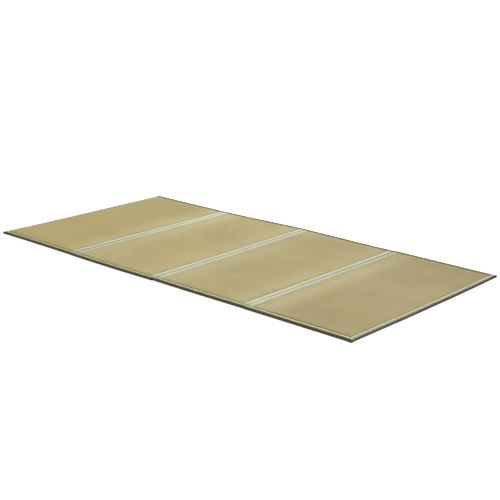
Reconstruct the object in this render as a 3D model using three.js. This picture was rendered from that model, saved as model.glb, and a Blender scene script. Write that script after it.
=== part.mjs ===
import * as THREE from "three";

// A folding floor mat: four rush-faced pads in a row, edged with folded cloth bindings and
// joined at three folds by cloth strips that run across the mat from binding to binding.
// Millimetres. +X runs along the mat, +Y across it and +Z up; z = 0 is the floor it lies on,
// and the origin is the middle of the underside.

const MAT_LENGTH = 2108.2;
const MAT_WIDTH = 990.6;
const MAT_THICKNESS = 12.7;
const RUSH_FACE_HEIGHT = 12.3;
const CLOTH = 1.2;
const CLEARANCE = 0.3;

const BINDING_WIDTH = 20.5;
const MAT_CORNER_RADIUS = 5;
const PAD_CORNER_RADIUS = 14;
const PAD_GAP = 2.4;
const FACE_INSET = 38;
const CORNER_REACH = 40;

const STRIP_HALF_WIDTH = 27;
const STRIP_END_INSET = BINDING_WIDTH + CLEARANCE;

const ALONG_STEPS = 4;
const ACROSS_STEPS = 6;
const CORNER_ANGLES = [Math.PI / 4, Math.PI / 8, 0];

const HALF_LENGTH = MAT_LENGTH / 2;
const HALF_WIDTH = MAT_WIDTH / 2;
const FOLDS = [-518.3, 13.7, 535.7];

// The outside of a folded binding, from the free edge of its lower flap, out round the rim and
// back to the free edge of its upper flap. inset is measured from the pad's rim.
const BINDING_SECTION = [
  { inset: BINDING_WIDTH, height: 0 },
  { inset: 3.0, height: 0 },
  { inset: 0.8, height: 1.2 },
  { inset: 0, height: 3.4 },
  { inset: 0, height: 6.6 },
  { inset: 1.0, height: 9.6 },
  { inset: 3.8, height: 11.8 },
  { inset: 8.5, height: MAT_THICKNESS },
  { inset: 14.0, height: 12.2 },
  { inset: BINDING_WIDTH, height: 10.6 },
];

// Over the padded crowns beside a fold the binding's upper flap stands up at its free edge.
const FLAP_OVER_FOLD = [
  { inset: 14.0, height: 12.6 },
  { inset: BINDING_WIDTH, height: 12.4 },
];
const FLAP_RAISED_TO = 22;
const FLAP_SETTLED_AT = 30;

// A pad's rim where a binding wraps it, below and above the tongue that the binding holds.
const BOUND_HEEL = { inset: 23.0, height: 0 };
const BOUND_LOWER_LIP = { inset: 20.8, height: 1.5 };
const BOUND_RISE = [
  { inset: 20.8, height: 8.9 },
  { inset: 23.0, height: 10.6 },
  { inset: 28.0, height: 11.8 },
];

// A pad's rim at a fold, row for row with the bound rim: from underneath, up the butting edge
// and over the crown that the fold strip lies on.
const FOLD_RIM = [
  { inset: 24.0, height: 0 },
  { inset: 20.0, height: 1.5 },
  { inset: 3.5, height: 1.5 },
  { inset: 1.2, height: 1.9 },
  { inset: 0, height: 3.0 },
  { inset: 0, height: 5.0 },
  { inset: 0.6, height: 6.5 },
  { inset: 2.6, height: 7.9 },
  { inset: 7.5, height: 9.6 },
  { inset: 13.5, height: 10.8 },
  { inset: 19.5, height: 10.4 },
  { inset: 26.1, height: 8.9 },
  { inset: 28.5, height: 10.6 },
  { inset: 32.5, height: 11.8 },
];

// How far a fold strip sinks below its crowns, at a reach from its centre seam. Both its long
// edges are sewn down.
const STRIP_RELIEF = [
  { reach: 0, depth: 4.5 },
  { reach: 2.5, depth: 3.7 },
  { reach: 5.5, depth: 2.0 },
  { reach: 9.0, depth: 0.6 },
  { reach: 14.0, depth: 0 },
  { reach: 20.0, depth: 0.6 },
  { reach: STRIP_HALF_WIDTH, depth: 2.2 },
];

// How far each pad's two long edges stand out from a straight line, at three places along it.
const EDGE_DRIFT = [
  { near: [-1, -1, 2.5], far: [4.9, 0.8, -4.5] },
  { near: [4, 7, 3.5], far: [-2, -2.3, 0] },
  { near: [-1, 0.2, -2.6], far: [-1, -2.7, -1] },
  { near: [-0.3, -0.6, -0.3], far: [3.5, -3.2, -8.5] },
];
const DRIFT_BLEND = 0.1;

// How far each fold lies to the right of a straight line: near edge, middle and far edge.
const FOLD_DRIFT = [
  [-4.5, -2, 2.5],
  [1.5, 1, 1],
  [2.5, 2, 1],
];
const FOLD_DRIFT_REACH = 220;

// How far the mat's two ends stand out, at shares of the way from the near edge to the far one.
const END_DRIFT = [
  { share: 0, left: 2.9, right: 1.6 },
  { share: 0.1, left: 1.8, right: 2.7 },
  { share: 0.2, left: -2.7, right: 3.7 },
  { share: 0.33, left: -4.9, right: 5.1 },
  { share: 0.67, left: -6.3, right: 3.7 },
  { share: 0.85, left: -8.2, right: 0.8 },
  { share: 1, left: -7.7, right: -3.3 },
];

// The mat's four corners are pulled out into slight points.
const CORNER_EAR = 3;
const EAR_REACH = 35;

// The middle fold stands up off the floor at its far end.
const RIDGE_HEIGHT = 5.2;
const RIDGE_FOLD = FOLDS[1];
const RIDGE_REACH = 527;
const RIDGE_START = -150;

function clamp01(value) {
  return Math.min(1, Math.max(0, value));
}

function smooth(value) {
  const t = clamp01(value);
  return t * t * (3 - 2 * t);
}

function mix(a, b, share) {
  return a + (b - a) * share;
}

// The parabola through three values, at share 0, 1/2 and 1.
function through([first, middle, last], share) {
  const start = first * (1 - share) * (1 - 2 * share);
  const centre = middle * 4 * share * (1 - share);
  const end = last * share * (2 * share - 1);
  return start + centre + end;
}

function padSpan(index) {
  const low = index === 0 ? -HALF_LENGTH : FOLDS[index - 1];
  const high = index === FOLDS.length ? HALF_LENGTH : FOLDS[index];
  return { low, high };
}

function padDrift(index, edge, x) {
  const { low, high } = padSpan(index);
  return through(EDGE_DRIFT[index][edge], clamp01((x - low) / (high - low)));
}

// A long edge's drift at x: each pad's own, blended over a hair's breadth at each fold.
function edgeDrift(edge, x) {
  let drift = padDrift(0, edge, x);
  FOLDS.forEach((fold, index) => {
    const share = smooth((x - fold + DRIFT_BLEND) / (2 * DRIFT_BLEND));
    drift = mix(drift, padDrift(index + 1, edge, x), share);
  });
  return drift;
}

// How far a fold's own drift carries the mat along at a point, fading out on both sides of it.
function foldDrift(x, y) {
  const share = clamp01((y + HALF_WIDTH) / MAT_WIDTH);
  return FOLDS.reduce((drift, fold, index) => {
    const fade = clamp01(1 - Math.abs(x - fold) / FOLD_DRIFT_REACH);
    return drift + through(FOLD_DRIFT[index], share) * fade;
  }, 0);
}

function endDrift(end, y) {
  const share = clamp01((y + HALF_WIDTH) / MAT_WIDTH);
  const next = Math.max(1, END_DRIFT.findIndex((row) => row.share >= share));
  const a = END_DRIFT[next - 1];
  const b = END_DRIFT[next];
  return mix(a[end], b[end], (share - a.share) / (b.share - a.share));
}

function ridgeLift(x, y) {
  const away = clamp01(Math.abs(x - RIDGE_FOLD) / RIDGE_REACH);
  const bell = Math.cos((Math.PI / 2) * away) ** 2;
  return RIDGE_HEIGHT * bell * smooth((y - RIDGE_START) / (HALF_WIDTH - RIDGE_START));
}

// How far a point is drawn out towards the nearest corner of the mat, along each edge.
function cornerEar(x, y) {
  const away = Math.hypot(HALF_LENGTH - Math.abs(x), HALF_WIDTH - Math.abs(y));
  return CORNER_EAR * clamp01(1 - away / EAR_REACH) ** 2;
}

// Moves a point of the true rectangle to where it lies on the slightly uneven mat.
function uneven(point) {
  const edge = point.y < 0 ? "near" : "far";
  const end = point.x < 0 ? "left" : "right";
  const acrossShare = clamp01(Math.abs(point.y) / (HALF_WIDTH - FACE_INSET));
  const endStart = FOLDS[2] + FACE_INSET;
  const endSpan = HALF_LENGTH - FACE_INSET - endStart;
  const alongShare = clamp01((Math.abs(point.x) - endStart) / endSpan);
  const ear = cornerEar(point.x, point.y);
  const outward = (endDrift(end, point.y) * alongShare + ear) * Math.sign(point.x);
  const dx = outward + foldDrift(point.x, point.y);
  const dy = (edgeDrift(edge, point.x) * acrossShare + ear) * Math.sign(point.y);
  const dz = ridgeLift(point.x, point.y);
  return new THREE.Vector3(point.x + dx, point.y + dy, point.z + dz);
}

// Gathers a closed body's faces, and lays it on the uneven mat.
class Body {
  constructor() {
    this.positions = [];
  }

  triangle(a, b, c) {
    for (const corner of [a, b, c]) {
      this.positions.push(...uneven(corner).toArray());
    }
  }

  quad(a, b, c, d) {
    this.triangle(a, b, c);
    this.triangle(a, c, d);
  }

  // A grid of rows of points, whose quads face the side where the rows run anticlockwise.
  grid(rows) {
    for (let i = 0; i + 1 < rows.length; i++) {
      for (let k = 0; k + 1 < rows[i].length; k++) {
        this.quad(rows[i][k], rows[i + 1][k], rows[i + 1][k + 1], rows[i][k + 1]);
      }
    }
  }

  mesh(name, material) {
    const geometry = new THREE.BufferGeometry();
    geometry.setAttribute("position", new THREE.Float32BufferAttribute(this.positions, 3));
    geometry.computeVertexNormals();
    const mesh = new THREE.Mesh(geometry, material.clone());
    mesh.name = name;
    return mesh;
  }
}

// A closed sheet of cloth between two grids of the same rows, its outside and its inside.
function sheetBody(outside, inside) {
  const body = new Body();
  const last = outside.length - 1;
  body.grid(outside);
  body.grid([...inside].reverse());
  body.grid([inside[0], outside[0]]);
  body.grid([outside[last], inside[last]]);
  body.grid(outside.map((row, i) => [inside[i][0], row[0]]));
  body.grid(outside.map((row, i) => [row[row.length - 1], inside[i][row.length - 1]]));
  return body;
}

// The outward unit directions at the points of an open line, lengthened at its corners so that
// a line moved along them stays parallel.
function outwardAt(line) {
  const normals = [];
  for (let i = 0; i + 1 < line.length; i++) {
    const run = line[i + 1].clone().sub(line[i]).normalize();
    normals.push(new THREE.Vector2(-run.y, run.x));
  }
  return line.map((_, i) => {
    const before = normals[Math.max(0, i - 1)];
    const after = normals[Math.min(normals.length - 1, i)];
    const middle = before.clone().add(after).normalize();
    return middle.divideScalar(middle.dot(before));
  });
}

function moved(line, distance) {
  const outward = outwardAt(line);
  return line.map((point, i) => point.clone().addScaledVector(outward[i], distance));
}

function asLine(rows) {
  return rows.map((row) => new THREE.Vector2(row.inset, row.height));
}

function asRows(line) {
  return line.map((point) => ({ inset: point.x, height: point.y }));
}

// Where a loop at an inset passes a rounded corner: its distance along the edge from the
// corner, and across the edge from the rim, at an angle round from the edge's square. A loop
// inside the rounding has a sharp corner, and its stations spread out along the edge instead.
function alongCorner(inset, radius, angle) {
  if (inset < radius) {
    return radius - (radius - inset) * Math.sin(angle);
  }
  return inset + ((CORNER_REACH - inset) * (1 - Math.tan(angle))) / 2;
}

function acrossCorner(inset, radius, angle) {
  return inset < radius ? radius - (radius - inset) * Math.cos(angle) : inset;
}

// The stations along an edge: round its first corner, along it, and round its last corner.
// Each says how far along it is, given the insets of the loop at the two neighbouring edges.
function edgeStations(edge) {
  const { length, first, last, steps } = edge;
  const stations = CORNER_ANGLES.map((angle) => ({
    corner: first,
    angle,
    along: (insets) => alongCorner(insets[first.kind], first.radius, angle),
  }));
  const straight = length - first.radius - last.radius;
  for (let i = 1; i < steps; i++) {
    const along = first.radius + (straight * i) / steps;
    stations.push({ corner: first, angle: 0, along: () => along });
  }
  const back = CORNER_ANGLES.map((angle) => ({
    corner: last,
    angle,
    along: (insets) => length - alongCorner(insets[last.kind], last.radius, angle),
  }));
  return stations.concat(back.reverse());
}

// A loop's point at a station of an edge. The two edges' heights meet halfway at a corner.
function stationPoint(edge, station, row) {
  const insets = { bound: row.bound.inset, fold: row.fold.inset };
  const { corner, angle } = station;
  const share = 0.5 * (angle / CORNER_ANGLES[0]) ** 3;
  const height = mix(row[edge.kind].height, row[corner.kind].height, share);
  const across = acrossCorner(insets[edge.kind], corner.radius, angle) - (station.mitre ?? 0);
  return edge.place(station.along(insets), across, height);
}

// A pad's four edges, anticlockwise from the near one.
function padEdges(index) {
  const span = padSpan(index);
  const leftKind = index === 0 ? "bound" : "fold";
  const rightKind = index === FOLDS.length ? "bound" : "fold";
  const low = span.low + (leftKind === "fold" ? PAD_GAP / 2 : 0);
  const high = span.high - (rightKind === "fold" ? PAD_GAP / 2 : 0);
  const radii = { bound: MAT_CORNER_RADIUS, fold: PAD_CORNER_RADIUS };
  const left = { kind: leftKind, radius: radii[leftKind] };
  const right = { kind: rightKind, radius: radii[rightKind] };
  const nearAt = (radius) => ({ kind: "bound", radius });
  const length = high - low;
  const point = (x, y, z) => new THREE.Vector3(x, y, z);
  return {
    near: {
      kind: "bound", length, first: left, last: right, steps: ALONG_STEPS,
      place: (along, across, z) => point(low + along, -HALF_WIDTH + across, z),
    },
    right: {
      kind: rightKind, length: MAT_WIDTH, steps: ACROSS_STEPS,
      first: nearAt(right.radius), last: nearAt(right.radius),
      place: (along, across, z) => point(high - across, -HALF_WIDTH + along, z),
    },
    far: {
      kind: "bound", length, first: right, last: left, steps: ALONG_STEPS,
      place: (along, across, z) => point(high - along, HALF_WIDTH - across, z),
    },
    left: {
      kind: leftKind, length: MAT_WIDTH, steps: ACROSS_STEPS,
      first: nearAt(left.radius), last: nearAt(left.radius),
      place: (along, across, z) => point(low + across, HALF_WIDTH - along, z),
    },
  };
}

// The loops round a pad, from the edge of its face out over the rim and in underneath.
function padRows() {
  const tongue = asRows(moved(asLine(BINDING_SECTION), -(CLOTH + CLEARANCE))).slice(1);
  const bound = [BOUND_HEEL, BOUND_LOWER_LIP, ...tongue, ...BOUND_RISE];
  const rows = bound.map((row, i) => ({ bound: row, fold: FOLD_RIM[i] }));
  const face = { inset: FACE_INSET, height: RUSH_FACE_HEIGHT };
  rows.push({ bound: face, fold: face });
  return rows.reverse();
}

function padLoop(edges, row) {
  const loop = Object.values(edges).flatMap((edge) =>
    edgeStations(edge).slice(0, -1).map((station) => stationPoint(edge, station, row)),
  );
  return [...loop, loop[0]];
}

// The flat of a pad's face or underside, as rows that run from the near edge to the far one.
// Between a rounder left corner and a tighter right one the stations shift over evenly.
function padFlat(edges, row) {
  const insets = { bound: row.bound.inset, fold: row.fold.inset };
  const alongs = (edge) => edgeStations(edge).map((station) => station.along(insets));
  const columns = alongs(edges.near);
  const leftLines = alongs(edges.left);
  const rightLines = alongs(edges.right);
  const start = columns[0];
  const span = columns[columns.length - 1] - start;
  return columns.map((along) =>
    leftLines.map((line, i) => {
      const across = mix(line, rightLines[i], (along - start) / span);
      return edges.near.place(along, across, row.bound.height);
    }),
  );
}

function rushPad(index, material) {
  const edges = padEdges(index);
  const rows = padRows();
  const body = new Body();
  body.grid(padFlat(edges, rows[0]));
  body.grid(padFlat(edges, rows[rows.length - 1]).reverse());
  const loops = rows.map((row) => padLoop(edges, row));
  for (let i = 0; i + 1 < loops.length; i++) {
    body.grid([loops[i], loops[i + 1]]);
  }
  return body.mesh(`rush_pad_${index + 1}`, material);
}

// A binding's stations along its edge. It is mitred at the mat's corners, drawn back along the
// rim to clear the next binding. At a fold it is cut square, to clear the next pad's binding.
function bindingStations(edge) {
  const mitre = CLEARANCE / 2 / Math.SQRT2;
  const foldCut = (CLEARANCE - PAD_GAP) / 2;
  const stations = edgeStations(edge).filter(
    (station) => station.angle === 0 || station.corner.radius === MAT_CORNER_RADIUS,
  );
  const mitred = (station, shift) => ({
    ...station,
    mitre,
    along: (insets) => station.along(insets) + shift,
  });
  const atFold = (reach, raised, at) => ({
    corner: edge.first,
    angle: 0,
    raised,
    along: () => at(reach),
  });
  const foldEnd = (at) => [
    atFold(foldCut, true, at),
    atFold(FLAP_RAISED_TO, true, at),
    atFold(FLAP_SETTLED_AT, false, at),
  ];
  const start =
    edge.first.kind === "fold" ? foldEnd((reach) => reach) : [mitred(stations[0], mitre)];
  const end =
    edge.last.kind === "fold"
      ? foldEnd((reach) => edge.length - reach).reverse()
      : [mitred(stations[stations.length - 1], -mitre)];
  return [...start, ...stations.slice(1, -1), ...end];
}

function binding(name, edge, material) {
  const settled = asLine(BINDING_SECTION);
  const raised = asLine([...BINDING_SECTION.slice(0, -FLAP_OVER_FOLD.length), ...FLAP_OVER_FOLD]);
  const layer = (depth) =>
    bindingStations(edge).map((station) => {
      const line = moved(station.raised ? raised : settled, -depth);
      return asRows(line).map((row) => stationPoint(edge, station, { bound: row, fold: row }));
    });
  return sheetBody(layer(0), layer(CLOTH)).mesh(name, material);
}

// The line that a fold strip's crowns follow, from the near binding across to the far one.
function stripPath() {
  const path = [];
  for (let i = 0; i <= ACROSS_STEPS; i++) {
    const inset = mix(STRIP_END_INSET, MAT_WIDTH - STRIP_END_INSET, i / ACROSS_STEPS);
    path.push({ inset, height: MAT_THICKNESS });
  }
  return path;
}

function foldStrip(index, material) {
  const line = asLine(stripPath());
  const right = STRIP_RELIEF.map((row) => ({ ...row, x: FOLDS[index] + row.reach }));
  const left = STRIP_RELIEF.slice(1).map((row) => ({ ...row, x: FOLDS[index] - row.reach }));
  const columns = [...right.reverse(), ...left];
  const layer = (thickness) =>
    line.map((point) =>
      columns.map((column) => {
        const height = point.y - column.depth - thickness;
        return new THREE.Vector3(column.x, point.x - HALF_WIDTH, height);
      }),
    );
  return sheetBody(layer(0), layer(CLOTH)).mesh(`fold_strip_${index + 1}`, material);
}

const rush = new THREE.MeshStandardMaterial({
  name: "rush",
  color: 0xbbae80,
  roughness: 0.8,
  metalness: 0,
});
const oliveCloth = new THREE.MeshStandardMaterial({
  name: "olive_cloth",
  color: 0x9c9868,
  roughness: 0.85,
  metalness: 0,
});
const mintCloth = new THREE.MeshStandardMaterial({
  name: "mint_cloth",
  color: 0xcdd0b0,
  roughness: 0.8,
  metalness: 0,
});

const mat = new THREE.Group();
for (let index = 0; index <= FOLDS.length; index++) {
  const edges = padEdges(index);
  mat.add(rushPad(index, rush));
  mat.add(binding(`near_binding_${index + 1}`, edges.near, oliveCloth));
  mat.add(binding(`far_binding_${index + 1}`, edges.far, oliveCloth));
}
mat.add(binding("left_end_binding", padEdges(0).left, mintCloth));
mat.add(binding("right_end_binding", padEdges(FOLDS.length).right, mintCloth));
FOLDS.forEach((_, index) => mat.add(foldStrip(index, mintCloth)));

export default mat;
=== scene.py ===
import math

import bpy
import numpy as np
from mathutils import Matrix, Vector


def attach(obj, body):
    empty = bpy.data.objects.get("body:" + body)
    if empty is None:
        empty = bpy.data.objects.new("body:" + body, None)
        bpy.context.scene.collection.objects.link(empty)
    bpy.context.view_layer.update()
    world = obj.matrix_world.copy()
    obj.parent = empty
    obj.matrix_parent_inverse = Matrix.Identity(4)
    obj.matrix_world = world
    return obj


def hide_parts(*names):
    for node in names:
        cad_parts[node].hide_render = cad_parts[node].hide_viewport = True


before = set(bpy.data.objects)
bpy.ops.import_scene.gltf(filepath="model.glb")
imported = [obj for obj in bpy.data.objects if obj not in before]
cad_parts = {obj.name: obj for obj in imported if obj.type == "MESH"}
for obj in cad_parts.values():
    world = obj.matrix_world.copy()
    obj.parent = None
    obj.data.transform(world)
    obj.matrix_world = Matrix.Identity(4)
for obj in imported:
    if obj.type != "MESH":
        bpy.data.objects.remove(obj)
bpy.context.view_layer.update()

# A folding tatami mat, lying open: four rush-faced pads, their folded cloth bindings and the
# cloth strips that cover the three folds from binding to binding. Sizes are millimetres until
# a mesh is made. The row frame has +X along the mat, +Y across it towards the far long edge,
# and z = 0 on the floor.
MM = 0.001

MAT_LENGTH = 2108.2
MAT_WIDTH = 990.6
MAT_THICKNESS = 12.7
RUSH_FACE_HEIGHT = 12.3
CLOTH = 1.2
CLEARANCE = 0.3
BINDING_WIDTH = 20.5
MAT_CORNER_RADIUS = 5.0
PAD_CORNER_RADIUS = 14.0
PAD_GAP = 2.4
FACE_INSET = 38.0
STRIP_END_INSET = BINDING_WIDTH + CLEARANCE
HALF_LENGTH = MAT_LENGTH / 2
HALF_WIDTH = MAT_WIDTH / 2
FOLDS = (-518.3, 13.7, 535.7)
PAD_COUNT = 4

# How the mat departs from a true rectangle, as in its solids.
EDGE_DRIFT = {
    "near": ((-1, -1, 2.5), (4, 7, 3.5), (-1, 0.2, -2.6), (-0.3, -0.6, -0.3)),
    "far": ((4.9, 0.8, -4.5), (-2, -2.3, 0), (-1, -2.7, -1), (3.5, -3.2, -8.5)),
}
DRIFT_BLEND = 0.1
FOLD_DRIFT = ((-4.5, -2, 2.5), (1.5, 1, 1), (2.5, 2, 1))
FOLD_DRIFT_REACH = 220.0
END_SHARES = (0, 0.1, 0.2, 0.33, 0.67, 0.85, 1)
END_DRIFT = {
    "left": (2.9, 1.8, -2.7, -4.9, -6.3, -8.2, -7.7),
    "right": (1.6, 2.7, 3.7, 5.1, 3.7, 0.8, -3.3),
}
CORNER_EAR = 3.0
EAR_REACH = 35.0
CORNER_REACH = 40.0
RIDGE_HEIGHT = 5.2
RIDGE_REACH = 527.0
RIDGE_START = -150.0

# Sections, as insets from the rim and heights above the floor.
BINDING_INSETS = (20.5, 12.0, 3.0, 0.8, 0, 0, 1.0, 3.8, 8.5, 14.0, 20.5)
BINDING_HEIGHTS = (0, 0, 0, 1.2, 3.4, 6.6, 9.6, 11.8, 12.7, 12.2, 10.6)
BOUND_TOP_INSETS = (1.5, 2.4, 4.4, 8.4, 13.8, 20.8, 23.0, 28.0, 38.0)
BOUND_TOP_HEIGHTS = (6.4, 8.8, 10.3, 11.1, 10.6, 8.9, 10.6, 11.8, 12.3)
BOUND_BASE_INSETS = (1.5, 2.2, 3.6, 20.8, 23.0)
BOUND_BASE_HEIGHTS = (3.6, 2.2, 1.5, 1.5, 0)
FOLD_TOP_INSETS = (0, 0.6, 2.6, 7.5, 13.5, 19.5, 26.1, 27.3, 28.6, 31.0, 35.0, 38.0)
FOLD_TOP_HEIGHTS = (5.0, 6.4, 7.6, 9.2, 10.5, 10.2, 8.9, 10.4, 11.3, 11.9, 12.2, 12.3)
FOLD_BASE_INSETS = (0, 1.2, 3.5)
FOLD_BASE_HEIGHTS = (2.0, 0.5, 0)
STRIP_REACHES = (0, 1.3, 2.6, 4.2, 6.5, 9.5, 13.0, 20.0, 27.0)
STRIP_DEPTHS = (4.5, 3.5, 2.3, 1.3, 0.5, 0.1, 0, 0.6, 2.2)

RNG = np.random.default_rng(39)


def smooth(value):
    t = np.clip(value, 0, 1)
    return t * t * (3 - 2 * t)


def curve(x, xs, ys):
    """A smooth curve through a table of points that never overshoots them."""
    xs, ys = np.asarray(xs, float), np.asarray(ys, float)
    step = np.diff(xs)
    slope = np.diff(ys) / step
    tangent = np.zeros_like(xs)
    product = slope[:-1] * slope[1:]
    same = product > 0
    total = np.where(same, slope[:-1] + slope[1:], 1)
    tangent[1:-1] = np.where(same, 2 * product / total, 0)
    tangent[0], tangent[-1] = slope[0], slope[-1]
    x = np.clip(x, xs[0], xs[-1])
    k = np.clip(np.searchsorted(xs, x, "right") - 1, 0, len(xs) - 2)
    t = (x - xs[k]) / step[k]
    rise = (3 - 2 * t) * t * t
    return (
        ys[k] * (1 - rise)
        + ys[k + 1] * rise
        + step[k] * t * (1 - t) * (tangent[k] * (1 - t) - tangent[k + 1] * t)
    )


def through(values, share):
    first, middle, last = values
    start = first * (1 - share) * (1 - 2 * share)
    centre = middle * 4 * share * (1 - share)
    return start + centre + last * share * (2 * share - 1)


def pad_span(index):
    low = -HALF_LENGTH if index == 0 else FOLDS[index - 1]
    high = HALF_LENGTH if index == PAD_COUNT - 1 else FOLDS[index]
    return low, high


def pad_drift(index, edge, x):
    low, high = pad_span(index)
    return through(EDGE_DRIFT[edge][index], np.clip((x - low) / (high - low), 0, 1))


def edge_drift(edge, x):
    drift = pad_drift(0, edge, x)
    for index, fold in enumerate(FOLDS):
        share = smooth((x - fold + DRIFT_BLEND) / (2 * DRIFT_BLEND))
        drift = drift + (pad_drift(index + 1, edge, x) - drift) * share
    return drift


def fold_drift(x, share):
    """How far the folds carry the mat along, at a share of the way across it."""
    drift = 0
    for fold, values in zip(FOLDS, FOLD_DRIFT):
        fade = np.clip(1 - np.abs(x - fold) / FOLD_DRIFT_REACH, 0, 1)
        drift = drift + through(values, share) * fade
    return drift


def uneven(points):
    """Moves points of the true rectangle, in millimetres, to where they lie on the mat."""
    x, y, z = points[..., 0], points[..., 1], points[..., 2]
    across = np.clip(np.abs(y) / (HALF_WIDTH - FACE_INSET), 0, 1)
    end_start = FOLDS[2] + FACE_INSET
    along = np.clip((np.abs(x) - end_start) / (HALF_LENGTH - FACE_INSET - end_start), 0, 1)
    share = np.clip((y + HALF_WIDTH) / MAT_WIDTH, 0, 1)
    left = -np.interp(share, END_SHARES, END_DRIFT["left"])
    right = np.interp(share, END_SHARES, END_DRIFT["right"])
    away = np.hypot(HALF_LENGTH - np.abs(x), HALF_WIDTH - np.abs(y))
    ear = CORNER_EAR * np.clip(1 - away / EAR_REACH, 0, 1) ** 2
    dx = np.where(x < 0, left, right) * along + ear * np.sign(x) + fold_drift(x, share)
    dy = np.where(y < 0, -edge_drift("near", x), edge_drift("far", x)) * across
    dy += ear * np.sign(y)
    away = np.clip(np.abs(x - FOLDS[1]) / RIDGE_REACH, 0, 1)
    bell = np.cos(math.pi / 2 * away) ** 2
    dz = RIDGE_HEIGHT * bell * smooth((y - RIDGE_START) / (HALF_WIDTH - RIDGE_START))
    return np.stack([x + dx, y + dy, z + dz], axis=-1)


def waves(count, shortest, longest):
    """A gentle random ripple over two distances, within about -1 to 1."""
    length = np.exp(RNG.uniform(math.log(shortest), math.log(longest), count))
    heading = RNG.uniform(0, math.pi, count)
    phase = RNG.uniform(0, 2 * math.pi, count)
    turn = 2 * math.pi / length

    def ripple(u, v):
        total = 0
        for k in range(count):
            along = u * math.cos(heading[k]) + v * math.sin(heading[k])
            total = total + np.sin(turn[k] * along + phase[k])
        return total / math.sqrt(count * 2)

    return ripple


def make_mesh(name, points, faces, coords, material):
    """A smooth-shaded mesh from points of the mat in millimetres, riding on the root body."""
    mesh = bpy.data.meshes.new(name)
    mesh.from_pydata((np.asarray(points) * MM).tolist(), [], faces)
    mesh.polygons.foreach_set("use_smooth", [True] * len(mesh.polygons))
    if coords is not None:
        weave = mesh.attributes.new("weave", "FLOAT_VECTOR", "POINT")
        weave.data.foreach_set("vector", (np.asarray(coords) * MM).astype(np.float32).ravel())
    mesh.materials.append(material)
    mesh.update()
    piece = bpy.data.objects.new(name, mesh)
    bpy.context.scene.collection.objects.link(piece)
    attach(piece, "root")
    return piece


# ---------------------------------------------------------------- materials

FIBRE_GLOSS = 0.1


class Shader:
    """A few lines of help for building a material's nodes."""

    def __init__(self, name):
        self.material = bpy.data.materials.new(name)
        self.material.use_nodes = True
        self.tree = self.material.node_tree
        self.surface = self.tree.nodes["Principled BSDF"]

    def put(self, socket, value):
        if isinstance(value, bpy.types.NodeSocket):
            self.tree.links.new(value, socket)
        else:
            socket.default_value = value

    def node(self, kind, *values, **settings):
        made = self.tree.nodes.new("ShaderNode" + kind)
        for key, value in settings.items():
            setattr(made, key, value)
        for socket, value in zip(made.inputs, values):
            if value is not None:
                self.put(socket, value)
        return made

    def math(self, operation, *values):
        return self.node("Math", *values, operation=operation).outputs[0]

    def noise(self, x, y, z=0.0):
        vector = self.node("CombineXYZ", x, y, z).outputs[0]
        made = self.node("TexNoise", noise_dimensions="3D")
        self.put(made.inputs["Vector"], vector)
        made.inputs["Scale"].default_value = 1.0
        made.inputs["Detail"].default_value = 2.0
        made.inputs["Roughness"].default_value = 0.5
        return made.outputs["Fac"]

    def streaks(self, x, y, along, across, seed):
        """Noise with so many cycles per metre along x and along y."""
        return self.noise(self.math("MULTIPLY", x, along), self.math("MULTIPLY", y, across), seed)

    def ramp(self, value, low, high, to_low=0.0, to_high=1.0):
        made = self.node("MapRange", value, low, high, to_low, to_high)
        return made.outputs[0]

    def mix(self, share, first, second, blend="MIX"):
        made = self.node("Mix", data_type="RGBA", blend_type=blend)
        self.put(made.inputs[0], share)
        self.put(made.inputs[6], first)
        self.put(made.inputs[7], second)
        return made.outputs[2]

    def finish(self, colour, roughness, height, bump, distance, sheen=0.0):
        surface = self.surface
        self.put(surface.inputs["Base Color"], colour)
        self.put(surface.inputs["Roughness"], roughness)
        surface.inputs["Specular IOR Level"].default_value = FIBRE_GLOSS
        surface.inputs["Sheen Weight"].default_value = sheen
        raised = self.node("Bump")
        raised.inputs["Strength"].default_value = bump
        raised.inputs["Distance"].default_value = distance
        self.put(raised.inputs["Height"], height)
        self.put(surface.inputs["Normal"], raised.outputs[0])
        return self.material


def srgb(red, green, blue):
    def linear(value):
        value = value / 255
        return value / 12.92 if value <= 0.04045 else ((value + 0.055) / 1.055) ** 2.4

    return (linear(red), linear(green), linear(blue), 1.0)


def tinted(tone, shares):
    return srgb(*(part * share for part, share in zip(tone, shares)))


def darker(tone, share):
    return tinted(tone, (share, share, share))


STALK = 1.2
RIB = 7.5
# How the rush is mottled, as cycles per metre along the mat and across it.
STALK_TONES = (1 / (STALK * MM), 14.0)
FLECKS = (1500.0, 160.0)
BANDS = (130.0, 2.5)
PATCHES = (5.0, 4.0)
WARM_RUSH = (0.97, 0.9, 0.82)
DARK_RUSH = (0.78, 0.77, 0.66)
# How dark the painted shade in the rib furrows is.
GROOVE_PAINTED_SHADE = 0.3
# Painted light beside the folds: the paler colour, its reach, and its middle away from each fold.
PAINTED_LIGHT_RUSH = (214, 205, 166)
PAINTED_LIGHT_REACH = 60.0
PAINTED_LIGHT_MIDDLES = (75.0, -55.0)
FAR_SHADE_SPAN = (100.0, 450.0)


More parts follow.
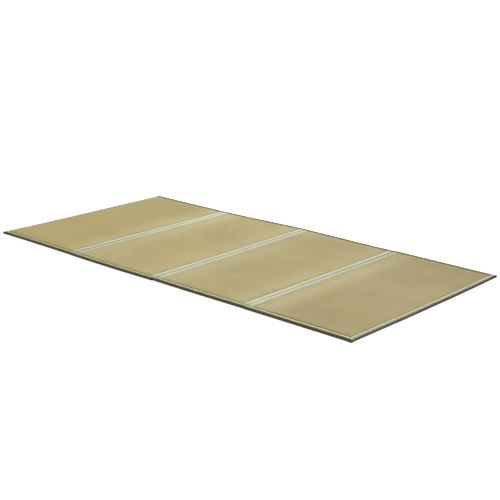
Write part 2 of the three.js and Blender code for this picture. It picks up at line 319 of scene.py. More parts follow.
def rush_material(name, tone, offset, folds, pale, shade_far):
    """Rush stalks across the mat, held by rows of warp thread along it."""
    s = Shader(name)
    weave = s.node("Attribute", attribute_name="weave").outputs["Vector"]
    part = s.node("SeparateXYZ", weave)
    x, y, groove = part.outputs
    # Each stalk has its own shade, and changes slowly along its length.
    stalk = s.streaks(x, y, *STALK_TONES, offset)
    fleck = s.streaks(x, y, *FLECKS, offset + 7.0)
    band = s.streaks(x, y, *BANDS, offset + 3.0)
    patch = s.streaks(x, y, *PATCHES, offset + 5.0)
    light = srgb(*tone)
    warm = tinted(tone, WARM_RUSH)
    dark = tinted(tone, DARK_RUSH)
    colour = s.mix(s.ramp(stalk, 0.32, 0.72, 0.0, 0.55), light, dark)
    colour = s.mix(s.ramp(band, 0.35, 0.7, 0.0, 0.4), colour, warm)
    colour = s.mix(s.ramp(fleck, 0.66, 0.78, 0.0, 0.35), colour, dark)
    shade = s.ramp(patch, 0.3, 0.7, 0.95, 1.05)
    grey = s.node("CombineColor", shade, shade, shade).outputs[0]
    colour = s.mix(1.0, colour, grey, "MULTIPLY")
    # Painted shade darkens the rush in the rib furrows.
    colour = s.mix(s.math("MULTIPLY", groove, GROOVE_PAINTED_SHADE / MM), colour, dark)
    # Painted light: the rush beside the folds is painted paler, standing in for light falling
    # there.
    for fold, (near, far), middle in zip(folds, pale, PAINTED_LIGHT_MIDDLES):
        away = s.math("SUBTRACT", x, (fold + middle) * MM)
        share = s.math("DIVIDE", away, PAINTED_LIGHT_REACH * MM)
        fade = s.math("EXPONENT", s.math("MULTIPLY", s.math("MULTIPLY", share, share), -1.0))
        amount = s.ramp(y, -HALF_WIDTH * MM, HALF_WIDTH * MM, near, far)
        colour = s.mix(s.math("MULTIPLY", fade, amount), colour, srgb(*PAINTED_LIGHT_RUSH))
    if shade_far:
        along = s.ramp(x, FOLDS[1] * MM, HALF_LENGTH * MM, 0.3, 1.0)
        across = s.ramp(y, *(end * MM for end in FAR_SHADE_SPAN), 0.0, shade_far)
        colour = s.mix(s.math("MULTIPLY", along, across), colour, dark)
    # A stalk passes over one row of warp and under the next.
    turn = s.math("MULTIPLY", s.math("FLOOR", s.math("DIVIDE", y, RIB * MM)), math.pi)
    wobble = s.math("MULTIPLY", stalk, 2.5)
    swing = s.math("ADD", s.math("MULTIPLY", x, math.pi / (STALK * MM)), wobble)
    over = s.math("SINE", s.math("ADD", swing, turn))
    height = s.math("ADD", s.math("MULTIPLY", over, 0.5), s.math("MULTIPLY", fleck, 0.4))
    rough = s.ramp(stalk, 0.3, 0.7, 0.8, 0.95)
    return s.finish(colour, rough, height, 0.45, 0.3 * MM)


THREAD = 0.55
# How the cloth is mottled, as cycles per metre: along each thread, and in patches.
SLUBS = 120.0
CLOTH_PATCHES = (22.0, 60.0)
DARK_THREAD = 0.8
# How dark the cloth is where shade is painted on it.
PAINTED_SHADE_CLOTH = 0.66
DARK_PLY = 0.72
PLY_TURNS = 900.0


def cloth_material(name, tone, faded_and_lit):
    """Plain-woven cotton tape: slubby threads both ways, paler where it rubs and where a
    highlight is painted, darker where shade is painted.
    """
    s = Shader(name)
    weave = s.node("Attribute", attribute_name="weave").outputs["Vector"]
    part = s.node("SeparateXYZ", weave)
    along, across, wear_and_light = part.outputs
    pitch = 1 / (THREAD * MM)
    warp = s.streaks(along, across, SLUBS, pitch, 1.0)
    weft = s.streaks(along, across, pitch, SLUBS, 4.0)
    patch = s.streaks(along, across, *CLOTH_PATCHES, 9.0)
    threads = s.math("ADD", s.math("MULTIPLY", warp, 0.5), s.math("MULTIPLY", weft, 0.5))
    dark = darker(tone, DARK_THREAD)
    colour = s.mix(s.ramp(threads, 0.36, 0.64, 0.0, 0.6), srgb(*tone), dark)
    colour = s.mix(s.ramp(patch, 0.4, 0.75, 0.0, 0.3), colour, dark)
    # Wear above zero fades the cloth, for real wear and painted highlight, and below zero it
    # darkens the cloth as painted shade.
    wear_and_light_amount = s.math("MULTIPLY", wear_and_light, 1 / MM)
    rubbed_and_lit = s.math("MULTIPLY", wear_and_light_amount, s.ramp(weft, 0.3, 0.7, 0.4, 1.0))
    colour = s.mix(rubbed_and_lit, colour, srgb(*faded_and_lit))
    painted_shade = s.math("MULTIPLY", wear_and_light_amount, -1.0)
    colour = s.mix(painted_shade, colour, darker(tone, PAINTED_SHADE_CLOTH))
    turn = math.pi * pitch
    rows = s.math("SINE", s.math("MULTIPLY", across, turn))
    posts = s.math("SINE", s.math("MULTIPLY", along, turn))
    cross = s.math("MULTIPLY", rows, posts)
    height = s.math("ADD", s.math("MULTIPLY", cross, 0.5), s.math("MULTIPLY", threads, 0.8))
    rough = s.ramp(threads, 0.3, 0.7, 0.82, 0.92)
    return s.finish(colour, rough, height, 0.4, 0.2 * MM)


def thread_material(name, tone):
    s = Shader(name)
    place = s.node("TexCoord").outputs["Object"]
    part = s.node("SeparateXYZ", place)
    ply = s.noise(*(s.math("MULTIPLY", way, PLY_TURNS) for way in part.outputs))
    colour = s.mix(s.ramp(ply, 0.35, 0.65), srgb(*tone), darker(tone, DARK_PLY))
    return s.finish(colour, 0.8, ply, 0.3, 0.1 * MM, sheen=0.1)


PAD_TONES = ((190, 176, 124), (193, 180, 132), (190, 177, 132), (182, 168, 125))
# How much painted light makes each pad paler beside its left and right fold, as the amounts at
# the near end and the far end, and how much darker each pad is at its far end.
PAD_PAINTED_LIGHT = (
    ((0, 0), (0.1, 0.42)),
    ((0.08, 0.46), (0.14, 0.22)),
    ((0.22, 0.18), (0.2, 0.12)),
    ((0.33, 0.35), (0, 0)),
)
PAD_SHADE = (0, 0, 0.4, 0.6)
RUSH = [
    rush_material(
        f"rush_{i + 1}", PAD_TONES[i], 11.0 * i, (FOLDS[max(i - 1, 0)], FOLDS[min(i, 2)]),
        PAD_PAINTED_LIGHT[i], PAD_SHADE[i],
    )
    for i in range(PAD_COUNT)
]
# Each cloth's second tone is its faded colour, for real wear and for painted highlight.
OLIVE = cloth_material("olive_cloth", (170, 166, 130), (224, 218, 180))
MINT = cloth_material("mint_cloth", (210, 211, 182), (226, 226, 202))
OLIVE_THREAD = thread_material("olive_thread", (150, 146, 108))
MINT_THREAD = thread_material("mint_thread", (196, 197, 166))


# --------------------------------------------------------------------- pads

FINE_STEPS = {
    "bound": (1.5, 1.9, 2.4, 3.2, 4.4, 6.4, 8.4, 11, 13.8, 17, 19.5, 20.8, 21.8, 23, 24.5, 26,
              28, 30.5, 33, 35.5, 38),
    "fold": (0, 0.6, 1.4, 2.6, 5, 7.5, 10.5, 13.5, 16.5, 19.5, 22.5, 26.1, 27.2, 28.5, 30,
             32.5, 35, 38),
}
RIB_SAMPLES = 5
FACE_COLUMN = 12.0
RIB_DEPTH = 0.42
SHALLOW_RIB_DEPTH = 0.24
RIB_VARIES = 0.25
RIB_START = 21.0
RIB_FADE = 4.0
FACE_SWELL = 0.3
FACE_RIPPLE = waves(14, 120, 420)
CORNER_BAND = 40.0
CORNER_RADII = {"bound": MAT_CORNER_RADIUS, "fold": PAD_CORNER_RADIUS}
PAD_TOPS = {
    "bound": (BOUND_TOP_INSETS, BOUND_TOP_HEIGHTS),
    "fold": (FOLD_TOP_INSETS, FOLD_TOP_HEIGHTS),
}
PAD_BASES = {
    "bound": (BOUND_BASE_INSETS, BOUND_BASE_HEIGHTS),
    "fold": (FOLD_BASE_INSETS, FOLD_BASE_HEIGHTS),
}


def corner_inset(first, second, radius):
    """The inset from a rounded outline, given the insets from its two straight sides."""
    round_it = radius - np.hypot(np.maximum(radius - first, 0), np.maximum(radius - second, 0))
    return np.where((first < radius) | (second < radius), round_it, np.minimum(first, second))


def rib_depth(y):
    """How far the face dips at y, and the dip as a share: a deep furrow, then a shallow one."""
    phase = np.abs(np.sin(math.pi * y / RIB))
    deep = np.where(np.round(y / RIB) % 2 == 0, RIB_DEPTH, SHALLOW_RIB_DEPTH)
    share = (1 - phase) ** 1.5
    return deep * share, share


def pad_sides(index):
    low, high = pad_span(index)
    left = "bound" if index == 0 else "fold"
    right = "bound" if index == PAD_COUNT - 1 else "fold"
    low += PAD_GAP / 2 if left == "fold" else 0
    high -= PAD_GAP / 2 if right == "fold" else 0
    return low, high, left, right


def woven_pad(index):
    low, high, left, right = pad_sides(index)
    length = high - low
    first, last = FINE_STEPS[left], FINE_STEPS[right]
    inner = length - first[-1] - last[-1]
    count = round(inner / FACE_COLUMN)
    columns = [*first, *(first[-1] + inner * k / count for k in range(1, count))]
    columns += [length - step for step in reversed(last)]
    columns = np.array(columns)
    # Across the mat the rows are fine at its edges, and evenly spaced over the ribs.
    edge = FINE_STEPS["bound"]
    sample = RIB / RIB_SAMPLES
    reach = math.floor((HALF_WIDTH - edge[-1]) / sample - 0.3)
    face = np.arange(-reach, reach + 1) * sample
    rows = np.concatenate([
        -HALF_WIDTH + np.array(edge), face, HALF_WIDTH - np.array(edge[::-1]),
    ])
    y = np.repeat(rows[:, None], len(columns), axis=1)
    near, far = HALF_WIDTH + y, HALF_WIDTH - y
    side = np.minimum(near, far)
    x = np.repeat(columns[None, :], len(rows), axis=0)
    # The first and last columns follow the rounded corners.
    for kind, flip in ((left, False), (right, True)):
        radius, start = CORNER_RADII[kind], FINE_STEPS[kind][0]
        turn = radius - start
        bite = np.maximum(turn - (side - start), 0)
        shift = np.maximum(radius - np.sqrt(np.maximum(turn**2 - bite**2, 0)) - start, 0)
        distance = length - x if flip else x
        fade = np.clip(1 - (distance - start) / (CORNER_BAND - start), 0, 1)
        x = x + (-1 if flip else 1) * shift * fade
    from_left, from_right = x, length - x
    top = np.full_like(x, RUSH_FACE_HEIGHT)
    base = np.zeros_like(x)
    for kind, distance in ((left, from_left), (right, from_right)):
        radius = CORNER_RADII[kind]
        inset = corner_inset(distance, side, radius)
        ending = np.where(side < radius, inset, distance)
        flank = np.where(distance < radius, inset, side)
        top = np.minimum(top, curve(ending, *PAD_TOPS[kind]))
        top = np.minimum(top, curve(flank, *PAD_TOPS["bound"]))
        base = np.maximum(base, curve(ending, *PAD_BASES[kind]))
        base = np.maximum(base, curve(flank, *PAD_BASES["bound"]))
    deep, groove = rib_depth(y)
    inside = np.minimum(side, np.minimum(from_left, from_right))
    clear = smooth((inside - RIB_START) / RIB_FADE)
    true_x = low + x
    top = top - deep * clear * (1 + RIB_VARIES * FACE_RIPPLE(true_x * 5, y * 0.4))
    top = top + FACE_SWELL * clear * FACE_RIPPLE(true_x, y)
    upper = np.stack([true_x, y, top], axis=-1)
    lower = np.stack([true_x, y, base], axis=-1)
    # The underside is plain, so only these of its rows are kept.
    n_rows, n_columns = x.shape
    keep = sorted({*range(len(edge)), *range(len(edge) + 2, n_rows - len(edge), RIB_SAMPLES),
                   *range(n_rows - len(edge), n_rows)})
    points = upper.reshape(-1, 3).tolist()
    # The share of each rib furrow, which the rush's colour darkens as painted shade.
    grooves = np.where(clear > 0, groove * clear, 0)
    coords = np.stack([true_x, y, grooves], axis=-1).reshape(-1, 3).tolist()
    at_top = np.arange(n_rows * n_columns).reshape(n_rows, n_columns)
    at_base = {}
    kept = set(keep)
    for i in range(n_rows):
        wanted = range(n_columns) if i in kept else (0, n_columns - 1)
        for k in wanted:
            at_base[i, k] = len(points)
            points.append(lower[i, k].tolist())
            coords.append([true_x[i, k], y[i, k], 0.0])
    faces = np.stack([at_top[:-1, :-1], at_top[:-1, 1:], at_top[1:, 1:], at_top[1:, :-1]],
                     axis=-1).reshape(-1, 4).tolist()
    for i, j in zip(keep, keep[1:]):
        between = range(i + 1, j)
        for k in range(n_columns - 1):
            face = [at_base[i, k]]
            face += [at_base[m, k] for m in between] if k == 0 else []
            face += [at_base[j, k], at_base[j, k + 1]]
            face += [at_base[m, k + 1] for m in reversed(between)] if k == n_columns - 2 else []
            face += [at_base[i, k + 1]]
            faces.append(face)
    for i in range(n_rows - 1):
        for k, turn in ((0, 1), (n_columns - 1, -1)):
            quad = [at_top[i, k], at_top[i + 1, k], at_base[i + 1, k], at_base[i, k]]
            faces.append([int(v) for v in quad[::turn]])
    for k in range(n_columns - 1):
        for i, turn in ((0, 1), (n_rows - 1, -1)):
            quad = [at_top[i, k], at_base[i, k], at_base[i, k + 1], at_top[i, k + 1]]
            faces.append([int(v) for v in quad[::turn]])
    points = uneven(np.array(points))
    piece = make_mesh(f"woven_pad_{index + 1}", points, faces, coords, RUSH[index])
    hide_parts(f"rush_pad_{index + 1}")


# -------------------------------------------------------------------- cloth

HEM_BULGE = 0.45


def resampled(insets, heights, spacing):
    """A section as evenly spaced points on a smooth curve, and their distances along it."""
    insets, heights = np.array(insets, float), np.array(heights, float)
    chord = np.concatenate([[0], np.cumsum(np.hypot(np.diff(insets), np.diff(heights)))])
    count = round(chord[-1] / spacing) + 1
    at = np.linspace(0, chord[-1], count)
    return curve(at, chord, insets), curve(at, chord, heights), at


def tube(outside, inside, hem_low, hem_high):
    """A closed sheet from grids of its two faces, with a rounded hem along both long edges.
    The grids are stations by points, and each hem is one row of points beyond the edge."""
    n, m = outside.shape[:2]
    loops = np.concatenate(
        [outside, hem_high[:, None], inside[:, ::-1], hem_low[:, None]], axis=1
    )
    size = 2 * m + 2
    index = np.arange(n * size).reshape(n, size)
    ahead = np.roll(index, -1, axis=1)
    faces = np.stack([index[:-1], index[1:], ahead[1:], ahead[:-1]], axis=-1)
    faces = faces.reshape(-1, 4).tolist()
    for i, turn in ((0, 1), (n - 1, -1)):
        for k in range(m - 1):
            quad = [index[i, k], index[i, k + 1], index[i, size - 3 - k], index[i, size - 2 - k]]
            faces.append([int(v) for v in quad[::turn]])
        high = [index[i, m - 1], index[i, m], index[i, m + 1]]
        low = [index[i, size - 1], index[i, 0], index[i, size - 2]]
        faces.append([int(v) for v in high[::turn]])
        faces.append([int(v) for v in low[::turn]])
    return loops.reshape(-1, 3), faces


STITCH = 3.3
STITCH_PITCH = 4.4
FIRST_STITCH = 2.0
STITCH_SHARES = (0, 0.2, 0.5, 0.8, 1)
STITCH_LIFTS = (-0.3, 0.1, 0.22, 0.1, -0.3)
THREAD_RADIUS = 0.27
STITCH_SIDES = 5


def stitches(name, seams, material):
    """Short raised stitches along seams, each seam a line of points with its normals."""
    ring = [2 * math.pi * k / STITCH_SIDES for k in range(STITCH_SIDES)]
    points, faces = [], []
    for line, normal in seams:
        line = uneven(line)
        gone = np.linalg.norm(np.diff(line, axis=0), axis=1)
        distance = np.concatenate([[0], np.cumsum(gone)])
        starts = np.arange(FIRST_STITCH, distance[-1] - STITCH - 1.0, STITCH_PITCH)
        for start in starts:
            spots = start + STITCH * np.array(STITCH_SHARES)
            lifts = np.array(STITCH_LIFTS)
            at = np.stack([np.interp(spots, distance, line[:, c]) for c in range(3)], axis=-1)
            up = np.stack([np.interp(spots, distance, normal[:, c]) for c in range(3)], axis=-1)
            up /= np.linalg.norm(up, axis=1)[:, None]
            at = at + up * lifts[:, None]
            ahead = at[-1] - at[0]
            ahead /= np.linalg.norm(ahead)
            base = len(points)
            points.append(at[0].tolist())
            for k in (1, 2, 3):
                side = np.cross(ahead, up[k])
                for angle in ring:
                    spoke = up[k] * math.sin(angle) + side * math.cos(angle)
                    points.append((at[k] + THREAD_RADIUS * spoke).tolist())
            points.append(at[-1].tolist())
            tip = len(points) - 1
            for k in range(STITCH_SIDES):
                j = (k + 1) % STITCH_SIDES
                faces.append([base, base + 1 + k, base + 1 + j])
                for r in (0, 1):
                    a = base + 1 + r * STITCH_SIDES
                    b = a + STITCH_SIDES
                    faces.append([a + k, b + k, b + j, a + j])
                c = base + 1 + 2 * STITCH_SIDES
                faces.append([c + k, tip, c + j])
    return make_mesh(name, points, faces, None, material)


SECTION_STEP = 1.4
STATION_STEP = 5.0
ARC_STEPS = 5
ARC_SPREAD = 1.2
MITRE_GAP = 0.08
BINDING_RIPPLE = waves(10, 30, 160)
PUCKER_PITCH = 8.8
SEAM_FROM_EDGE = 2.6
SEAM_WIDTH = 1.6
SEAM_DRAW = 0.2
SEAM_PUCKER = 0.14
ROLL_SWELL = 0.22
ROLL_FROM = 18.0
ROLL_SHORTER = 24.0
CREST_WIDTH = 5.5
# How far the weave runs on round a hem.
HEM_WEAVE = 0.8
# How much each pad's binding is faded at its crest, as wear and painted highlight, with painted
# shade below zero, and where that is across the tape.
BINDING_WEAR_AND_LIGHT = {
    "near": ((0.35, 0.5, 0.8, 0.95), 41.0),
    "far": ((0, 0, 0, 0), 38.0),
    "left": ((0.3, 0, 0, 0), 38.0),
    "right": ((0, 0, 0, -0.06), 45.5),
}
# How much painted shade darkens each pad's binding round its rim, from the start of the edge to
# its end.
RIM_PAINTED_SHADE = {
    "near": ((0, 0), (0, 0), (0, 0), (0, 0)),
    "far": ((0.9, 0.9), (0.8, 0.8), (1, 1), (1.1, 1.1)),
    "left": ((1, 1),),
    "right": ((0, 0), (0, 0), (0, 0), (0.55, 1)),
}
RIM_PAINTED_SHADE_AT = 29.0
RIM_PAINTED_SHADE_WIDTH = 8.5


def edge_places(index, side):
    """Where an edge of a pad is: its length, and a map from along and across to x and y."""
    low, high, left, right = pad_sides(index)
    maps = {
        "near": lambda along, across: (low + along, -HALF_WIDTH + across),
        "right": lambda along, across: (high - across, -HALF_WIDTH + along),
        "far": lambda along, across: (high - along, HALF_WIDTH - across),
        "left": lambda along, across: (low + across, HALF_WIDTH - along),
    }
    length = MAT_WIDTH if side in ("left", "right") else high - low
    ends = {"near": (left, right), "far": (right, left)}.get(side, ("bound", "bound"))
    return length, maps[side], ends


def folded_binding(name, index, side, material, thread):
    """Cloth folded in a C over the rim of a pad, sewn through close to both its edges."""
    length, place, (first, last) = edge_places(index, side)
    insets, heights, at = resampled(BINDING_INSETS, BINDING_HEIGHTS, SECTION_STEP)
    radius = MAT_CORNER_RADIUS
    cut = (CLEARANCE - PAD_GAP) / 2
    start = radius if first == "bound" else cut
    end = length - (radius if last == "bound" else cut)
    count = round((end - start) / STATION_STEP)
    base = np.linspace(start, end, count + 1)
    turn = np.zeros_like(base)
    arc = np.linspace(math.pi / 4, 0, ARC_STEPS + 1)[:-1]
    if first == "bound":
        base = np.concatenate([np.full(ARC_STEPS, radius), base])
        turn = np.concatenate([-arc, turn])
    if last == "bound":
        base = np.concatenate([base, np.full(ARC_STEPS, length - radius)])
        turn = np.concatenate([turn, arc[::-1]])
    base, turn = base[:, None], turn[:, None]
    # The draw of the stitches, and the looser swell of the roll between them.
    tight = sum(
        np.exp(-(((from_edge - SEAM_FROM_EDGE) / SEAM_WIDTH) ** 2))
        for from_edge in (at, at[-1] - at)
    )
    roll = np.sin(math.pi * np.clip((at - ROLL_FROM) / (at[-1] - ROLL_SHORTER), 0, 1)) ** 2
    run = base + turn * radius
    # Each binding takes its own part of the ripple.
    ripple = BINDING_RIPPLE(run + 700 * index, at[None, :] * 1.5 + 310 * len(side))
    pucker = 0.5 + 0.5 * np.cos(2 * math.pi * run / PUCKER_PITCH)
    swell = ROLL_SWELL * ripple * roll - (SEAM_DRAW + SEAM_PUCKER * pucker) * tight
    insets, heights = insets[None, :], heights[None, :]
    normal = np.stack([np.gradient(heights[0]), -np.gradient(insets[0])], axis=-1)
    normal *= -1 / np.linalg.norm(normal, axis=1)[:, None]
    gap = MITRE_GAP * (np.abs(turn) > 0) * (np.abs(turn) / (math.pi / 4)) ** 6
    floor_side = heights < 0.6

    def from_corner(inset, distance, angle):
        """Distance along the edge from a mitred corner: the rows near the rim turn round it,
        and the rows further in start from the mitre."""
        inside = np.maximum(inset - radius, 0)
        rim = np.maximum(radius - inset, 0)
        opened = ARC_SPREAD * (1 - angle / (math.pi / 4))
        start = radius + inside + opened
        gone = (distance - radius) * (CORNER_REACH - start) / (CORNER_REACH - radius)
        spread = np.where(distance < CORNER_REACH, start + gone, distance)
        return np.where(angle > 0, start - rim * np.sin(angle), spread)

    def layer(depth):
        out = swell * ~floor_side - depth
        inset = insets + normal[None, :, 0] * out
        height = np.maximum(heights + normal[None, :, 1] * out, 0)
        along = base + 0 * inset
        for kind, flip in ((first, False), (last, True)):
            if kind != "bound":
                continue
            near_it = base > length / 2 if flip else base < length / 2
            distance = length - base if flip else base
            angle = np.maximum(turn if flip else -turn, 0)
            reached = from_corner(inset, distance, angle)
            along = np.where(near_it, length - reached if flip else reached, along)
        along = along - np.sign(turn) * gap
        across = np.where(inset < radius, radius - (radius - inset) * np.cos(turn), inset)
        x, y = place(along, across)
        return np.stack([x, y, height], axis=-1)

    outside, inside = layer(0), layer(CLOTH)
    hems = []
    for k, step in ((0, 1), (-1, -1)):
        middle = (outside[:, k] + inside[:, k]) / 2
        beyond = outside[:, k] - outside[:, k + step]
        beyond /= np.linalg.norm(beyond, axis=1)[:, None]
        hem = middle + HEM_BULGE * beyond
        hem[:, 2] = np.maximum(hem[:, 2], 0)
        hems.append(hem)
    points, faces = tube(outside, inside, *hems)
    # The crest fades for wear and painted highlight, and darkens as painted shade below zero.
    wear_and_light_amount, centre = BINDING_WEAR_AND_LIGHT[side]
    crest = np.exp(-(((at - centre) / CREST_WIDTH) ** 2)) * wear_and_light_amount[index]
    # Painted shade round the rim of the binding.
    rim_shade = np.exp(-(((at - RIM_PAINTED_SHADE_AT) / RIM_PAINTED_SHADE_WIDTH) ** 4))
    across_grid = np.repeat(at[None, :], len(base), axis=0)
    run_grid = np.repeat(run, len(at), axis=1)
    rim_shade_amount = np.interp(run_grid / length, (0, 1), RIM_PAINTED_SHADE[side][index])
    wear_and_light = crest[None, :] - rim_shade_amount * rim_shade[None, :]
    face = np.stack([run_grid, across_grid, wear_and_light], axis=-1)
    edge_low = face[:, 0] * [1, 1, 0] - [0, HEM_WEAVE, 0]
    edge_high = face[:, -1] * [1, 1, 0] + [0, HEM_WEAVE, 0]
    coords = np.concatenate(
        [face, edge_high[:, None], face[:, ::-1], edge_low[:, None]], axis=1
    ).reshape(-1, 3)
    piece = make_mesh(f"{name}_cloth", uneven(points), faces, coords, material)
    seams = []
    for k in (np.argmin(np.abs(at - SEAM_FROM_EDGE)),
              np.argmin(np.abs(at[-1] - at - SEAM_FROM_EDGE))):
        # Stitches are made on the upper flap alone.
        if heights[0, k] < 1:
            continue
        line = outside[:, k]
        across_it = outside[:, k + 1] - outside[:, k - 1]
        along_it = np.gradient(line, axis=0)
        up = np.cross(across_it, along_it)
        up /= np.linalg.norm(up, axis=1)[:, None]
        up *= np.sign(up[:, 2:3])
        seams.append((line, up))
    sewing = stitches(f"{name}_stitches", seams, thread)
    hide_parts(name)


STRIP_STEP = 5.0
STRIP_COLUMNS = (0, 0.7, 1.5, 2.5, 3.6, 5.0, 6.5, 8.2, 10, 12, 14, 16, 18, 20, 22, 23.4, 24.4,
                 25.4, 27.0)
STRIP_SEAM = 24.4
STRIP_SEAM_WIDTH = 1.2
CENTRE_SEAM_WIDTH = 2.4
CENTRE_SEAM_DRAW = 0.8
STRIP_CREST = 13.0
STRIP_CREST_WIDTH = 5.0
STRIP_SWELL = 0.3
STRIP_DRAW = 0.15
STRIP_HEM_BULGE = 0.27
STRIP_PATH_INSETS = (STRIP_END_INSET, 22.0, 23.5, 28.0, 34.0)
STRIP_PATH_HEIGHTS = (10.3, 11.0, 11.8, 12.5, MAT_THICKNESS)
STRIP_PATH_PLACES = (80, 250, 500, 740, 910)
STRIP_END_STEPS = 8
# How much the crowns are faded, as wear and painted highlight, and how dark the painted shade
# in the centre seam is, at the near end and the far end.
CROWN_WEAR_AND_LIGHT = ((1.4, 2.2), (0.9, 0.9), (0.5, -0.05))
SEAM_SHADE = ((1.6, 0.4), (0.8, 0.6), (0.0, 1.2))
SEAM_SHADE_AT = ((-1.8, -0.3), (-0.1, -0.1), (-0.9, -0.9))
SEAM_SHADE_WIDTH = 1.9
# Bands of wear, painted highlight and painted shade along the strips: where each is, its
# width, and how much each strip is faded (above zero) or darkened (below zero) in it at the
# near end and the far end.
STRIP_WEAR_AND_LIGHT = (
    (-5.5, 2.2, ((0.3, 0.9), (0.9, 0.9), (0.9, 0.2))),
    (4.0, 4.5, ((-0.5, 0), (0, 0), (1.0, -0.1))),
    (12.5, 6.0, ((-1.8, 0), (-0.9, -0.3), (0, -0.3))),
    (24.5, 4.5, ((0.4, 1.5), (1.3, 1.0), (0, -0.15))),
)
STRIP_RIPPLE = waves(10, 40, 200)


def fold_strip(index):
    """One strip of cloth over a fold: a crown either side of a centre seam, sewn down along
    both edges, with its ends down against the two long bindings."""
    name = f"fold_strip_{index + 1}"
    near = list(zip(STRIP_PATH_INSETS, STRIP_PATH_HEIGHTS))
    far = [(MAT_WIDTH - inset, height) for inset, height in reversed(near)]
    path = np.array(near + [(place, MAT_THICKNESS) for place in STRIP_PATH_PLACES] + far)
    chord = np.concatenate([[0], np.cumsum(np.hypot(*np.diff(path, axis=0).T))])
    turn_down = chord[len(near) - 1]
    flat_steps = round((chord[-1] - 2 * turn_down) / STRIP_STEP)
    at = np.concatenate([
        np.linspace(0, turn_down, STRIP_END_STEPS + 1)[:-1],
        np.linspace(turn_down, chord[-1] - turn_down, flat_steps + 1)[:-1],
        np.linspace(chord[-1] - turn_down, chord[-1], STRIP_END_STEPS + 1),
    ])
    place = curve(at, chord, path[:, 0])
    height = curve(at, chord, path[:, 1])
    slope = np.stack([np.gradient(place, at), np.gradient(height, at)], axis=-1)
    normal = np.stack([-slope[:, 1], slope[:, 0]], axis=-1)
    normal /= np.linalg.norm(normal, axis=1)[:, None]
    reach = np.array([-r for r in STRIP_COLUMNS[:0:-1]] + list(STRIP_COLUMNS))[::-1]
    size = np.abs(reach)
    from_end = np.minimum(at, chord[-1] - at)
    settled = np.where(size[None] > STRIP_CREST, smooth(from_end / turn_down)[:, None], 1)
    depth = curve(size, STRIP_REACHES, STRIP_DEPTHS)[None] * settled
    pucker = 0.5 + 0.5 * np.cos(2 * math.pi * at / PUCKER_PITCH)[:, None]
    tight = np.exp(-(((size - STRIP_SEAM) / STRIP_SEAM_WIDTH) ** 2))
    tight = tight + CENTRE_SEAM_DRAW * np.exp(-((size / CENTRE_SEAM_WIDTH) ** 2))
    roll = np.exp(-(((size - STRIP_CREST) / STRIP_CREST_WIDTH) ** 2))
    ripple = STRIP_RIPPLE(at[:, None] + 900 * index, reach[None, :] * 2)
    out = STRIP_SWELL * ripple * roll - STRIP_DRAW * (1 + pucker) * tight

    def layer(under):
        down = depth - out + under
        y = place[:, None] - normal[:, 0:1] * down - HALF_WIDTH
        z = height[:, None] - normal[:, 1:2] * down
        x = np.repeat(FOLDS[index] + reach[None, :], len(at), axis=0)
        return np.stack([x, y, z], axis=-1)

    outside, inside = layer(0), layer(CLOTH)
    hems = []
    for k, sign in ((0, 1), (-1, -1)):
        hem = (outside[:, k] + inside[:, k]) / 2
        hem[:, 0] += sign * STRIP_HEM_BULGE
        hems.append(hem)
    points, faces = tube(outside, inside, *hems)
    run = np.repeat(at[:, None], len(reach), axis=1)
    share = at[:, None] / chord[-1]
    shade_at = np.interp(share, (0, 1), SEAM_SHADE_AT[index])
    # Painted shade along the centre seam.
    painted_shade = np.exp(-(((reach[None] - shade_at) / SEAM_SHADE_WIDTH) ** 2))
    # The crowns fade for wear and painted highlight.
    wear_and_light = np.interp(share, (0, 1), CROWN_WEAR_AND_LIGHT[index]) * roll[None]
    # Bands of wear, painted highlight and painted shade across the strip.
    for middle, width, wear_and_light_amount in STRIP_WEAR_AND_LIGHT:
        band = np.exp(-(((reach[None] - middle) / width) ** 2))
        wear_and_light = wear_and_light + np.interp(share, (0, 1), wear_and_light_amount[index]) * band
    wear_and_light = wear_and_light - np.interp(share, (0, 1), SEAM_SHADE[index]) * painted_shade
    grid = np.stack([run, np.repeat(reach[None, :], len(at), axis=0), wear_and_light], axis=-1)
    coords = np.concatenate(
        [grid, grid[:, -1:] * [1, 1, 0], grid[:, ::-1], grid[:, :1] * [1, 1, 0]], axis=1
    ).reshape(-1, 3)
    piece = make_mesh(f"{name}_cloth", uneven(points), faces, coords, MINT)
    seams = []
    for spot in (-STRIP_SEAM, 0, STRIP_SEAM):
        k = int(np.argmin(np.abs(reach - spot)))
        line = outside[:, k]
        up = np.stack([np.zeros(len(at)), normal[:, 0], normal[:, 1]], axis=-1)
        seams.append((line, up))
    sewing = stitches(f"{name}_stitches", seams, MINT_THREAD)
    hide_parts(name)


for i in range(PAD_COUNT):
    woven_pad(i)
for i in range(PAD_COUNT):
    for side in ("near", "far"):
        folded_binding(f"{side}_binding_{i + 1}", i, side, OLIVE, OLIVE_THREAD)
folded_binding("left_end_binding", 0, "left", MINT, MINT_THREAD)
folded_binding("right_end_binding", PAD_COUNT - 1, "right", MINT, MINT_THREAD)
for i in range(len(FOLDS)):
    fold_strip(i)


# -------------------------------------------------- floor, light and camera

FLOOR_HALF = 40.0
WALL_RADIUS = 38.0
WALL_HEIGHT = 30.0
WALL_SIDES = 48


def stage_look(name, grey, roughness, glow, strength):
    look = Shader(name)
    look.surface.inputs["Base Color"].default_value = (grey, grey, grey, 1.0)
    look.surface.inputs["Roughness"].default_value = roughness
    look.surface.inputs["Emission Color"].default_value = (*glow, 1.0)
    look.surface.inputs["Emission Strength"].default_value = strength
    return look.material


def stage_piece(name, points, faces, material, shadow):
    """A piece of the stage, which neither lights nor tints the mat."""
    mesh = bpy.data.meshes.new(name)
    mesh.from_pydata(points, [], faces)
    mesh.materials.append(material)
    piece = bpy.data.objects.new(name, mesh)
    bpy.context.scene.collection.objects.link(piece)
    piece.visible_diffuse = False
    piece.visible_glossy = False
    piece.visible_shadow = shadow


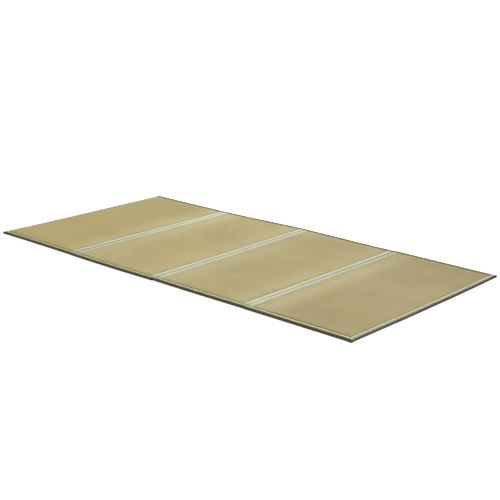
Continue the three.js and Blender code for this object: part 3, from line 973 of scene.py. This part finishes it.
corners = [
    (x * FLOOR_HALF, y * FLOOR_HALF, 0) for x, y in ((-1, -1), (1, -1), (1, 1), (-1, 1))
]
pale = stage_look("pale_floor", grey=0.9, roughness=0.9, glow=(1.0, 1.0, 0.99), strength=0.85)
stage_piece("floor", corners, [(0, 1, 2, 3)], pale, shadow=True)

# A white wall far round the floor. It stops no light.
ring = [2 * math.pi * k / WALL_SIDES for k in range(WALL_SIDES)]
points = [
    (WALL_RADIUS * math.cos(angle), WALL_RADIUS * math.sin(angle), height)
    for height in (0, WALL_HEIGHT) for angle in ring
]
faces = [
    (k, WALL_SIDES + k, WALL_SIDES + (k + 1) % WALL_SIDES, (k + 1) % WALL_SIDES)
    for k in range(WALL_SIDES)
]
white = stage_look("white_wall", grey=0.0, roughness=0.5, glow=(1.0, 1.0, 1.0), strength=1.0)
stage_piece("wall", points, faces, white, shadow=False)

world = bpy.data.worlds.new("studio")
bpy.context.scene.world = world
world.use_nodes = True
sky = world.node_tree
SKY_ABOVE = (0.3, 0.305, 0.3, 1.0)
SKY_BELOW = (0.03, 0.03, 0.03, 1.0)
HORIZON_BLEND = 0.05
where = sky.nodes.new("ShaderNodeTexCoord")
split = sky.nodes.new("ShaderNodeSeparateXYZ")
rise = sky.nodes.new("ShaderNodeMapRange")
rise.inputs["From Min"].default_value = -HORIZON_BLEND
rise.inputs["From Max"].default_value = HORIZON_BLEND
blend = sky.nodes.new("ShaderNodeMix")
blend.data_type = "RGBA"
blend.inputs[6].default_value = SKY_BELOW
blend.inputs[7].default_value = SKY_ABOVE
sky.links.new(where.outputs["Generated"], split.inputs[0])
sky.links.new(split.outputs["Z"], rise.inputs["Value"])
sky.links.new(rise.outputs[0], blend.inputs[0])
sky.links.new(blend.outputs[2], sky.nodes["Background"].inputs["Color"])


def sun(name, azimuth, elevation, strength, spread, colour):
    """A broad soft light from a compass direction: azimuth 0 is the far side, 90 the right."""
    light = bpy.data.lights.new(name, "SUN")
    light.energy = strength
    light.angle = math.radians(spread)
    light.color = colour
    made = bpy.data.objects.new(name, light)
    a, e = math.radians(azimuth), math.radians(elevation)
    towards = Vector((math.sin(a) * math.cos(e), math.cos(a) * math.cos(e), math.sin(e)))
    made.rotation_euler = towards.to_track_quat("Z", "Y").to_euler()
    bpy.context.scene.collection.objects.link(made)


sun("key_light", azimuth=-14, elevation=20, strength=6.4, spread=30, colour=(1.0, 0.99, 0.96))

CAMERA_PLACE = (3.11492, -3.18996, 1.3462)
CAMERA_AZIMUTH = 43.3104
CAMERA_ELEVATION = 16.5915
CAMERA_ROLL = -0.4265
FOCAL_PIXELS = 1039.796
FRAME_PIXELS = 500
SENSOR = 36.0
CLIP_END = 200.0
lens = bpy.data.cameras.new("camera")
lens.sensor_width = SENSOR
lens.lens = FOCAL_PIXELS * SENSOR / FRAME_PIXELS
lens.clip_end = CLIP_END
camera = bpy.data.objects.new("camera", lens)
bpy.context.scene.collection.objects.link(camera)
camera.matrix_world = (
    Matrix.Translation(CAMERA_PLACE)
    @ Matrix.Rotation(math.radians(CAMERA_AZIMUTH), 4, "Z")
    @ Matrix.Rotation(math.radians(90 - CAMERA_ELEVATION), 4, "X")
    @ Matrix.Rotation(math.radians(CAMERA_ROLL), 4, "Z")
)
bpy.context.scene.camera = camera
bpy.context.scene.view_settings.view_transform = "Standard"
